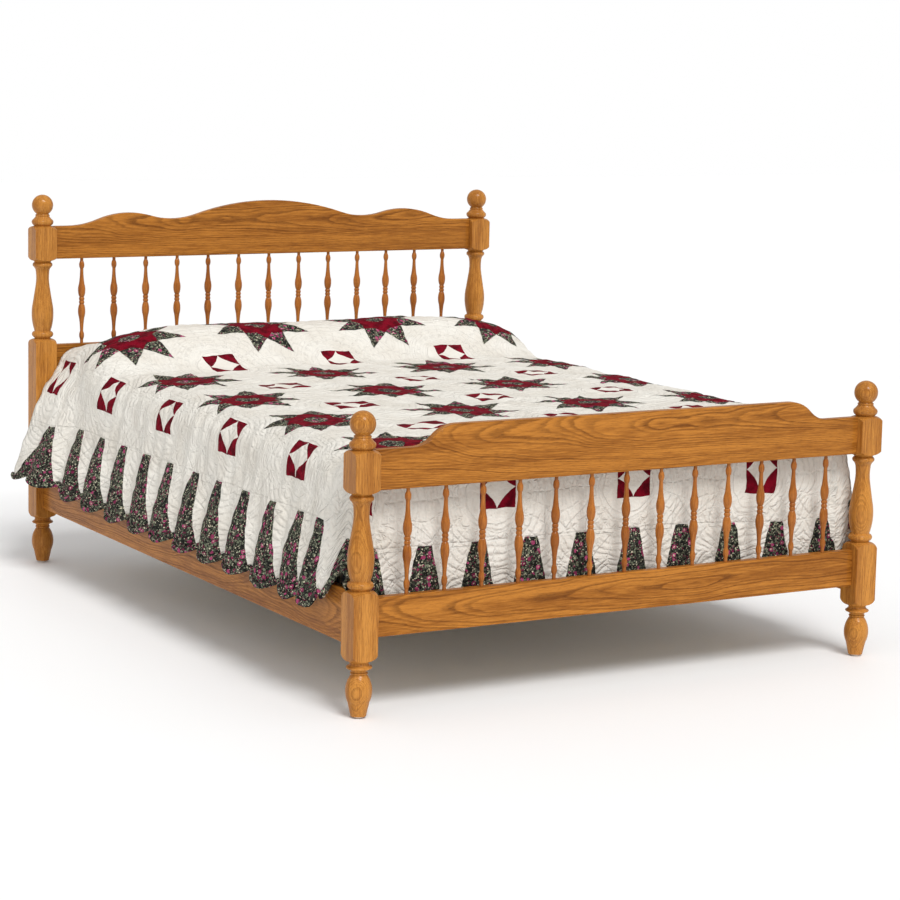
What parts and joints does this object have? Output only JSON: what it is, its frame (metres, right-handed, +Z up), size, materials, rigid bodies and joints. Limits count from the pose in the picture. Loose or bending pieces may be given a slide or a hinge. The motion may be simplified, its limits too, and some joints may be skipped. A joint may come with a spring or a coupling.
{
  "type": "spindle bed",
  "caption": "Queen-size oak bed with turned posts and spindle headboard and footboard, box spring, mattress, pillows and a pieced quilt.",
  "frame": {"origin": "on the floor under the middle of the bed, the centre of the bottom of its bounding box", "axes": "+X across the bed, to the right seen from the foot; +Y along the bed towards the headboard; +Z up"},
  "size_m": [1.724, 2.23, 1.17],
  "materials": {
    "oak": "honey oak with strong cathedral grain under a semi-gloss lacquer",
    "slat_pine": "planed pine, unfinished",
    "zinc_steel": "zinc-plated steel",
    "glide_nickel": "nickel-plated nail-on glides",
    "ticking": "woven cotton ticking",
    "pillow_cotton": "plain cotton",
    "quilt_cotton": "pieced and hand-quilted cotton: cream ground, burgundy and dark calico"
  },
  "bodies": {
    "bed_frame": {"head_post_left": "oak", "head_post_right": "oak", "foot_post_left": "oak", "foot_post_right": "oak", "head_top_rail": "oak", "head_lower_rail": "oak", "foot_top_rail": "oak", "foot_bottom_rail": "oak", "head_spindle_01": "oak", "head_spindle_02": "oak", "head_spindle_03": "oak", "head_spindle_04": "oak", "head_spindle_05": "oak", "head_spindle_06": "oak", "head_spindle_07": "oak", "head_spindle_08": "oak", "head_spindle_09": "oak", "head_spindle_10": "oak", "head_spindle_11": "oak", "head_spindle_12": "oak", "head_spindle_13": "oak", "foot_spindle_01": "oak", "foot_spindle_02": "oak", "foot_spindle_03": "oak", "foot_spindle_04": "oak", "foot_spindle_05": "oak", "foot_spindle_06": "oak", "foot_spindle_07": "oak", "foot_spindle_08": "oak", "foot_spindle_09": "oak", "foot_spindle_10": "oak", "foot_spindle_11": "oak", "foot_spindle_12": "oak", "foot_spindle_13": "oak", "side_rail_left": "oak", "side_rail_right": "oak", "ledger_left": "slat_pine", "ledger_right": "slat_pine", "slat_1": "slat_pine", "slat_2": "slat_pine", "slat_3": "slat_pine", "slat_4": "slat_pine", "slat_5": "slat_pine", "hook_plate_head_left": "zinc_steel", "hook_plate_head_right": "zinc_steel", "hook_plate_foot_left": "zinc_steel", "hook_plate_foot_right": "zinc_steel", "slot_plate_head_left": "zinc_steel", "slot_plate_head_right": "zinc_steel", "slot_plate_foot_left": "zinc_steel", "slot_plate_foot_right": "zinc_steel", "hook_plate_screws": "zinc_steel", "slot_plate_screws": "zinc_steel", "ledger_screws": "zinc_steel", "foot_glides": "glide_nickel"},
    "box_spring": {"box_spring": "ticking"},
    "bedding": {"mattress": "ticking", "pillow_left": "pillow_cotton", "pillow_right": "pillow_cotton", "quilt": "quilt_cotton"}
  },
  "joints": [
    {"name": "box_spring_lift", "type": "slide", "parent": "bed_frame", "child": "box_spring", "axis": [0, 0, 1], "range_m": [0, 0.3]},
    {"name": "bedding_lift", "type": "slide", "parent": "box_spring", "child": "bedding", "axis": [0, 0, 1], "range_m": [0, 0.3]}
  ]
}
